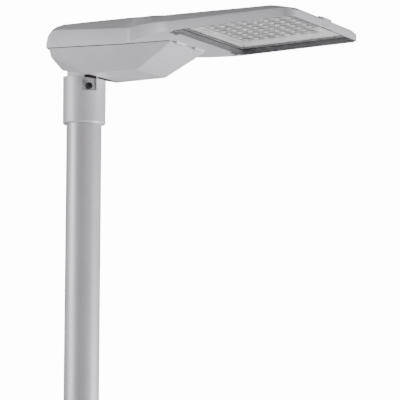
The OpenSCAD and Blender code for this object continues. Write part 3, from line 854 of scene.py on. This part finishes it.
    def fittings(self, side: int) -> list[bpy.types.Object]:
        """Models one side's pivot lug, posts, hinge boss and ears that stand in the shell."""
        z, radius, top = self.lug
        low, high = stretch(side, 31.5, 41.5)
        lug = block(TOP, (-radius, low, z), (radius, high, top))
        boolean(lug, rod(TOP, (0, low, z), (0, high, z), radius, 48), "UNION")
        soften(lug, 1.2, 2, 40.0)
        parts = [lug]
        parts += [rod(TOP, (x, side * 62, 178), (x, side * 62, end), 5) for x, end in self.gear_posts]
        parts += [rod(HEAD, (x, side * 90, 25.2), (x, side * 90, 31), 6) for x in self.optic_posts]
        low, high = stretch(side, 104, 154)
        boss = block(HEAD, (36, low, 0.6), (SIZES.recess[0] - 0.1, high, 13))
        cut(boss, self.frame_pocket(side))
        parts.append(boss)
        for y in (24, 56):
            ends = stretch(side, y - 3.5, y + 3.5)
            parts.append(self.ear(TOP, SIZES.cover_hinge, SIZES.cover_knuckle_r, ends, 6.5))
        start = SIZES.latch_half + self.gap
        parts.append(self.ear(HEAD, SIZES.latch, SIZES.latch_r, stretch(side, start, start + 4), -6))
        return parts

    def build(self, paints: Paintbox) -> bpy.types.Object:
        """Models the whole casting and dresses it."""
        shell = self.outer()
        cut(shell, self.hollow())
        cut(shell, *self.openings())
        x = SIZES.cover_hinge[0]
        for side in (-1, 1):
            cut(shell, self.frame_pocket(side))
            low, high = around(side, SIZES.cover_knuckle, self.gap)
            cut(shell, block(TOP, (x - 9, low, 140), (x + 5.2, high, 154)))
        shade(shell)
        parts = self.fittings(-1) + self.fittings(1)
        for part in parts:
            shade(part)
        whole = merge("upper_shell", [shell, *parts])
        coat = paints.materials["lamp_coat"]
        return finish_piece(whole, Body.LUMINAIRE, "lamp_coat", coat, "upper_housing")


# ---------- the gear cover and the cowl behind the collar ----------

# Centres of the balls that the cover's skin is stretched over: X, half width and height
COVER_BALLS: tuple[Point, ...] = (
    (166, 56.5, 103), (75, 62, 103), (43, 64, 103), (-14, 61, 115), (-34, 30, 121),
    (-24, 97, 158), (-45, 50, 160), (-51, 0, 160), (150, 92, 152), (258, 71, 155),
    (-46, 20, 139), (-26, 84, 138),
)


@dataclass
class GearCover:
    """The hinged lower shell under the gear, and the fixed cowl behind the collar.

    Attributes:
        edge: The radius of the rounded edges.
        wall: The thickness of the casting.
        front_x: Where the cover stops in front of its hinge.
        cut: The notch around the collar: its front X and half its width.
        cowl_z: The height of the cowl's lower edge.
    """

    edge: float = 6.0
    wall: float = 2.8
    front_x: float = 253.5
    cut: tuple[float, float] = (49.0, 58.0)
    cowl_z: float = 117.4

    def skin(self, radius: float, name: str) -> bpy.types.Object:
        """Stretches a skin over balls of one radius."""
        balls: list[bpy.types.Object] = []
        for x, half, z in COVER_BALLS:
            for y in {half, -half}:
                deselect()
                bpy.ops.mesh.primitive_uv_sphere_add(
                    segments=28, ring_count=14, radius=radius * MM, location=TOP.world(x, y, z)
                )
                settle(bpy.context.active_object)
                balls.append(bpy.context.active_object)
        skin = merge(name, balls)
        bpy.ops.object.mode_set(mode="EDIT")
        bpy.ops.mesh.select_all(action="SELECT")
        bpy.ops.mesh.convex_hull()
        bpy.ops.mesh.select_all(action="SELECT")
        bpy.ops.mesh.normals_make_consistent(inside=False)
        bpy.ops.object.mode_set(mode="OBJECT")
        return skin

    def space_above(self, gap: float, front: float) -> bpy.types.Object:
        """Models all the space above the seam, up to one X."""
        line = [(x, SEAM.height(x) - gap) for x in (-120.0, SEAM.bend_x, front)]
        return side_prism([*line, (front, 260.0), (-120.0, 260.0)], 200.0)

    def build(self, paints: Paintbox) -> list[bpy.types.Object]:
        """Models the cover and the cowl and dresses both."""
        hollow = self.edge - self.wall
        cover = self.skin(self.edge, "gear_cover_shell")
        cut(cover, self.space_above(SEAM.gap, 320.0))
        cut(cover, block(TOP, (self.front_x, -200, 0), (320, 200, 300)))
        cut(cover, block(TOP, (-100, -self.cut[1], 0), (self.cut[0], self.cut[1], 300)))
        cut(cover, self.skin(hollow, "cover_hollow"))
        shade(cover, 30.0)
        parts = [cover]
        x, z = SIZES.cover_hinge
        radius = SIZES.cover_knuckle_r
        for side in (-1, 1):
            low, high = around(side, SIZES.cover_knuckle)
            knuckle = rod(TOP, (x, low, z), (x, high, z), radius)
            boolean(knuckle, block(TOP, (x - 12, low, z - radius), (x, high, z - 0.5)), "UNION")
            shade(knuckle)
            parts.append(knuckle)
        coat = paints.materials["lamp_coat"]
        whole = merge("gear_cover_shell", parts)
        cowl = self.skin(self.edge, "rear_cowl_shell")
        half = self.cut[1] - 0.8
        boolean(cowl, block(TOP, (-80, -half, self.cowl_z), (-20, half, 220)), "INTERSECT")
        cut(cowl, self.space_above(1.0, 200.0))
        cut(cowl, self.skin(hollow, "cowl_hollow"))
        shade(cowl, 30.0)
        return [
            finish_piece(whole, Body.COVER, "lamp_coat", coat, "gear_cover"),
            finish_piece(cowl, Body.LUMINAIRE, "lamp_coat", coat, "rear_cowl"),
        ]


# ---------- small pieces ----------


@dataclass
class FrontLatch:
    """The lever on the front edge that closes the glass frame.

    Attributes:
        reach: How far the lever hangs below its pivot.
    """

    reach: float = 19.0

    def build(self, paints: Paintbox) -> bpy.types.Object:
        """Models the barrel, the plate and its pull lip, and dresses the lever."""
        x, z = SIZES.latch
        half = SIZES.latch_half
        lever = rod(HEAD, (x, -half, z), (x, half, z), SIZES.latch_r, 40)
        plate = block(HEAD, (x + 3.4, -half, z - self.reach), (x + 6, half, z + 1.8))
        soften(plate, 0.8, 3, 40.0)
        boolean(lever, plate, "UNION")
        web = block(HEAD, (x, -half + 0.3, z - 3), (x + 4.5, half - 0.3, z + 1.6))
        boolean(lever, web, "UNION")
        lip = block(HEAD, (x + 3.4, -14, z - self.reach - 0.5), (x + 7.4, 14, z - self.reach + 2.5))
        soften(lip, 0.9, 3, 40.0)
        boolean(lever, lip, "UNION")
        shade(lever)
        lever.name = "front_latch_lever"
        return finish_piece(lever, Body.LATCH, "lamp_coat", paints.materials["lamp_coat"], "latch_lever")


@dataclass
class GlassFrame:
    """The frame that swings down with the front glass and its seal.

    Attributes:
        ends: The frame's two ends along X in the head's frame.
        half: Half its width.
        radius: The radius of its outer corners.
        wall: The thickness of its wall.
        ledge: The height of the ledge that the glass lies on.
        knuckle_r: The radius of its hinge knuckles.
    """

    ends: tuple[float, float] = (50.1, 325.3)
    half: float = 159.4
    radius: float = 18.0
    wall: float = 3.0
    ledge: float = 10.2
    knuckle_r: float = 4.5

    def inset(self, by: float, low: float, high: float) -> bpy.types.Object:
        """Models a plate that lies inside the frame's outline by one distance."""
        ends = (self.ends[0] + by, self.ends[1] - by)
        return rounded_plate(HEAD, ends, self.half - by, (low, high), self.radius - by)

    def frame_piece(self) -> bpy.types.Object:
        """Models the frame with its ledge and its two hinge knuckles."""
        ring = self.inset(0.0, 0.0, self.ledge + 3.3)
        soften(ring, 0.6, 2, 60.0)
        cut(ring, self.inset(self.wall, -5.0, 30.0), self.inset(1.2, self.ledge, 31.0))
        shade(ring)
        parts = [ring]
        x, z = SIZES.frame_hinge
        for side in (-1, 1):
            low, high = around(side, SIZES.frame_knuckle)
            knuckle = rod(HEAD, (x, low, z), (x, high, z), self.knuckle_r, 40)
            arm = block(HEAD, (x, low, z - self.knuckle_r), (self.ends[0] + 0.5, high, z + 3.5))
            boolean(knuckle, arm, "UNION")
            cut(knuckle, rod(HEAD, (x, low - 3, z), (x, high + 3, z), 2.56, 32))
            shade(knuckle)
            parts.append(knuckle)
        return merge("front_frame", parts)

    def build(self, paints: Paintbox) -> list[bpy.types.Object]:
        """Models the frame, the glass and the seal and dresses them."""
        ring = self.frame_piece()
        pane = self.inset(1.4, self.ledge, self.ledge + 4.0)
        pane.name = "front_pane"
        soften(pane, 0.4, 2, 60.0)
        shade(pane)
        seal = self.inset(2.0, self.ledge + 4.0, 15.4)
        seal.name = "front_seal"
        cut(seal, self.inset(8.0, 0.0, 40.0))
        shade(seal)
        return [
            finish_piece(ring, Body.FRONT, "frame_coat", paints.materials["frame_coat"], "glass_frame"),
            finish_piece(pane, Body.FRONT, "glass", paints.materials["glass"], "glass"),
            finish_piece(seal, Body.FRONT, "rubber", paints.materials["rubber"], "glass_seal"),
        ]


@dataclass
class LensField:
    """The moulded lens plates: a lattice of caps, with two places left free at one corner.

    Attributes:
        start_x: The first row's X in the head's frame.
        pitch: The distance between lenses.
        columns: The number of rows along X.
        rows: The number of lenses across.
        low: The height of the plates' lower face.
        thick: The thickness of the plates.
        cap_size: Half of one cap's length and width, and its height.
    """

    start_x: float = 94.0
    pitch: float = 25.0
    columns: int = 9
    rows: int = 8
    low: float = 17.2
    thick: float = 1.4
    cap_size: Point = (6.4, 9.2, 2.5)

    def centres(self) -> list[tuple[float, float]]:
        """Lists the centres of the lenses in the head's frame."""
        return [
            (self.start_x + i * self.pitch, (j - (self.rows - 1) / 2) * self.pitch)
            for i in range(self.columns)
            for j in range(self.rows)
            if not (i == self.columns - 1 and j > self.rows - 3)
        ]

    def cap(self) -> bpy.types.Object:
        """Models one lens: a long cap with a dip across its middle, cut off at the plate."""
        deselect()
        bpy.ops.mesh.primitive_uv_sphere_add(segments=20, ring_count=12, radius=1)
        cap = bpy.context.active_object
        cap.scale = self.cap_size
        settle(cap)
        for vert in cap.data.vertices:
            vert.co.z *= 1.0 - 0.28 * math.exp(-((vert.co.y / 2.4) ** 2))
        bpy.ops.object.mode_set(mode="EDIT")
        bpy.ops.mesh.select_all(action="SELECT")
        bpy.ops.mesh.bisect(plane_co=(0, 0, 0), plane_no=(0, 0, 1), use_fill=True, clear_outer=True)
        bpy.ops.object.mode_set(mode="OBJECT")
        return cap

    def sheets(self) -> list[bpy.types.Object]:
        """Models the four flat plates."""
        parts: list[bpy.types.Object] = []
        for low_x, high_x in ((-11, 112), (113, 208)):
            for low_y, high_y in ((-100, -0.4), (0.4, 100)):
                plate = block(HEAD, (self.start_x + low_x, low_y, self.low),
                              (self.start_x + high_x, high_y, self.low + self.thick))
                soften(plate, 0.3, 2, 40.0)
                parts.append(plate)
        return parts

    def domes(self) -> list[bpy.types.Object]:
        """Places one cap at each lens of the lattice."""
        model = self.cap()
        turn = Matrix.Rotation(math.radians(HEAD.turn), 4, "Y")
        parts: list[bpy.types.Object] = []
        for x, y in self.centres():
            copy = model.copy()
            copy.data = model.data.copy()
            bpy.context.collection.objects.link(copy)
            place = Matrix.Translation(HEAD.world(x, y, self.low + 0.02))
            copy.matrix_world = place @ turn @ Matrix.Scale(MM, 4)
            settle(copy)
            parts.append(copy)
        bpy.data.objects.remove(model, do_unlink=True)
        return parts

    def build(self, paints: Paintbox) -> list[bpy.types.Object]:
        """Models the plates and the caps and dresses both: the caps in a painted highlight, the plates in a
        painted shade.
        """
        plates = merge("lens_sheets", self.sheets())
        caps = merge("lens_domes", self.domes())
        shade(caps, 50.0)
        return [
            finish_piece(plates, Body.LUMINAIRE, "lens", paints.materials["lens"], "lens_plates"),
            finish_piece(caps, Body.LUMINAIRE, "lens", CAP_PAINTED_HIGHLIGHT.build()),
        ]


@dataclass
class ColumnWelds:
    """The weld beads where the column's tubes and its base plate meet.

    Attributes:
        bead: The radius of a bead.
    """

    bead: float = 1.8

    def ring(self, radius: float, height: float) -> bpy.types.Object:
        """Models one rippled bead around the column."""
        deselect()
        bpy.ops.mesh.primitive_torus_add(
            major_radius=radius * MM, minor_radius=self.bead * MM, major_segments=180, minor_segments=10,
            location=(0, 0, height),
        )
        bead = bpy.context.active_object
        settle(bead)
        for vert in bead.data.vertices:
            angle = math.atan2(vert.co.y, vert.co.x)
            swell = 1.0 + 0.0035 * math.sin(angle * 60.0)
            vert.co.x *= swell
            vert.co.y *= swell
        shade(bead, 60.0)
        return bead

    def build(self, paints: Paintbox) -> bpy.types.Object:
        """Models the three beads and dresses them."""
        tube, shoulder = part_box("base_tube"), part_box("shoulder")
        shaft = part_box("shaft")
        wide = tube[1][0] / MM
        narrow = shaft[1][0] / MM
        beads = [
            self.ring(wide + 0.6, tube[0][2]),
            self.ring(wide - 1.0, shoulder[0][2]),
            self.ring(narrow - 0.8, shaft[0][2]),
        ]
        whole = merge("column_welds", beads)
        return finish_piece(whole, Body.COLUMN, "column_coat", paints.materials["column_coat"])


# ---------- studio ----------


@dataclass
class Studio:
    """The pale floor, the soft lights and the camera.

    Attributes:
        eye: The camera's position in millimetres from the collar's axis and rim.
        yaw: How far the camera is turned, in degrees.
        pitch: How far it looks up.
        roll: How far it leans.
        lens: The focal length for a 36 mm frame.
    """

    eye: Point = (2353.97, -3783.83, -650.22)
    yaw: float = 28.663
    pitch: float = 6.252
    roll: float = 0.239
    lens: float = 187.587

    def camera(self) -> None:
        """Adds the camera and makes it the scene's own."""
        yaw, pitch, roll = (math.radians(v) for v in (self.yaw, self.pitch, self.roll))
        ahead = Vector((-math.sin(yaw) * math.cos(pitch), math.cos(yaw) * math.cos(pitch), math.sin(pitch)))
        level = Vector((math.cos(yaw), math.sin(yaw), 0.0))
        up = level.cross(ahead)
        right = level * math.cos(roll) + up * math.sin(roll)
        top = up * math.cos(roll) - level * math.sin(roll)
        data = bpy.data.cameras.new("studio_camera")
        data.lens = self.lens
        data.sensor_width = 36.0
        data.clip_end = 100.0
        camera = bpy.data.objects.new("studio_camera", data)
        bpy.context.collection.objects.link(camera)
        turn = Matrix((right, top, -ahead)).transposed().to_4x4()
        camera.matrix_world = Matrix.Translation(TOP.world(*self.eye)) @ turn
        bpy.context.scene.camera = camera

    def light(self, name: str, place: Point, aim: Point, size: float, power: float) -> None:
        """Adds a square soft light that faces a point."""
        data = bpy.data.lights.new(name, "AREA")
        data.size = size
        data.energy = power
        light = bpy.data.objects.new(name, data)
        bpy.context.collection.objects.link(light)
        light.location = place
        light.rotation_euler = (Vector(aim) - Vector(place)).to_track_quat("-Z", "Y").to_euler()

    def world(self) -> None:
        """Sets a white surround that lights less than it shows."""
        world = bpy.data.worlds.new("studio")
        world.use_nodes = True
        tree = world.node_tree
        tree.nodes.clear()
        seen = add_node(tree, "ShaderNodeBackground", Color=(1, 1, 1, 1), Strength=14.0)
        lit = add_node(tree, "ShaderNodeBackground", Color=(0.98, 0.97, 1.0, 1), Strength=0.22)
        path = add_node(tree, "ShaderNodeLightPath")
        mix = add_node(tree, "ShaderNodeMixShader")
        out = add_node(tree, "ShaderNodeOutputWorld")
        tree.links.new(path.outputs["Is Camera Ray"], mix.inputs[0])
        tree.links.new(lit.outputs[0], mix.inputs[1])
        tree.links.new(seen.outputs[0], mix.inputs[2])
        tree.links.new(mix.outputs[0], out.inputs["Surface"])
        bpy.context.scene.world = world

    def floor(self) -> None:
        """Adds the pale floor under the base plate."""
        deselect()
        bpy.ops.mesh.primitive_circle_add(vertices=96, radius=14.0, fill_type="NGON", location=(0, 0, 0))
        floor = bpy.context.active_object
        floor.name = "studio_floor"
        pale, paler = (0.7, 0.7, 0.7), (0.72, 0.72, 0.72)
        finish = Finish("floor_paper", paler, pale, 0.0, (0.7, 0.8), (60.0, 0.0001), 0.6)
        floor.data.materials.append(finish.build())

    def build(self) -> None:
        """Sets up the whole studio."""
        self.camera()
        self.world()
        self.floor()
        head = (0.25, 0.0, 3.05)
        self.light("side_left", (-1.9, -1.9, 3.0), (0.0, 0.0, 2.9), 1.2, 52.0)
        self.light("key_right", (3.2, -2.6, 5.0), head, 1.8, 35.0)
        self.light("foot", (-1.6, -2.6, 1.6), (0.0, 0.0, 0.5), 1.4, 40.0)
        self.light("fill_below", (2.7, 1.3, 1.2), head, 2.0, 230.0)


def main() -> None:
    """Builds the lamp piece by piece."""
    logging.basicConfig(level=logging.INFO, format="%(name)s: %(message)s")
    paints = Paintbox().build()
    paints.dress_nodes()
    UpperShell().build(paints)
    GearCover().build(paints)
    FrontLatch().build(paints)
    GlassFrame().build(paints)
    LensField().build(paints)
    ColumnWelds().build(paints)
    Studio().build()
    deselect()


if __name__ == "__main__":
    main()
